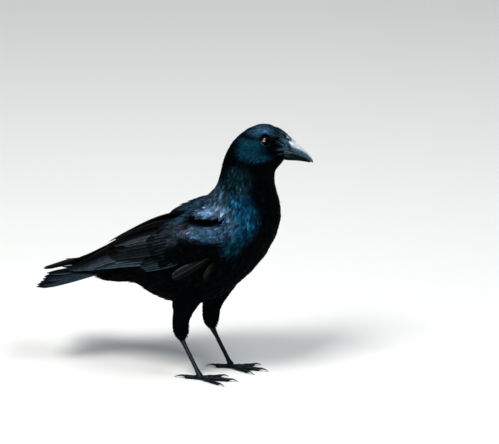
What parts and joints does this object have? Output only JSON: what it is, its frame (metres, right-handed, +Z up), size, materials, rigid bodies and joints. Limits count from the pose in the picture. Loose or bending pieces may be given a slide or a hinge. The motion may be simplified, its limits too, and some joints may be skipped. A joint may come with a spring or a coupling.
{
  "type": "american crow",
  "caption": "Life-size still model of a standing black crow with folded wings, a stout bill and one leg a step ahead, at rest on its own feet.",
  "frame": {"origin": "on the floor under the middle of the bird's box", "axes": "+X the way the crow faces, +Y its left, +Z up"},
  "size_m": [0.3422, 0.1178, 0.3309],
  "materials": {
    "plumage": "black contour feathers with a blue and violet gloss",
    "flight_feather": "sleek black-brown vanes with a faint sheen",
    "bill": "smooth black horn, satin to glossy",
    "claw": "black horn, satin",
    "leg_scale": "black scaled skin, slightly glossy",
    "eye": "wet dark brown eye"
  },
  "bodies": {
    "root": {"head": "plumage", "neck": "plumage", "trunk": "plumage", "tail_base": "plumage", "wing_right_coverts": "plumage", "wing_right_secondaries": "flight_feather", "wing_right_primaries": "flight_feather", "wing_left_coverts": "plumage", "wing_left_secondaries": "flight_feather", "wing_left_primaries": "flight_feather", "tail_feathers_right": "flight_feather", "tail_feathers_left": "flight_feather", "bill_upper": "bill", "bill_lower": "bill", "eye_right": "eye", "eye_left": "eye", "thigh_right": "plumage", "shank_right": "leg_scale", "toe_right_middle": "leg_scale", "claw_right_middle": "claw", "toe_right_inner": "leg_scale", "claw_right_inner": "claw", "toe_right_outer": "leg_scale", "claw_right_outer": "claw", "toe_right_hind": "leg_scale", "claw_right_hind": "claw", "thigh_left": "plumage", "shank_left": "leg_scale", "toe_left_middle": "leg_scale", "claw_left_middle": "claw", "toe_left_inner": "leg_scale", "claw_left_inner": "claw", "toe_left_outer": "leg_scale", "claw_left_outer": "claw", "toe_left_hind": "leg_scale", "claw_left_hind": "claw"}
  },
  "joints": []
}
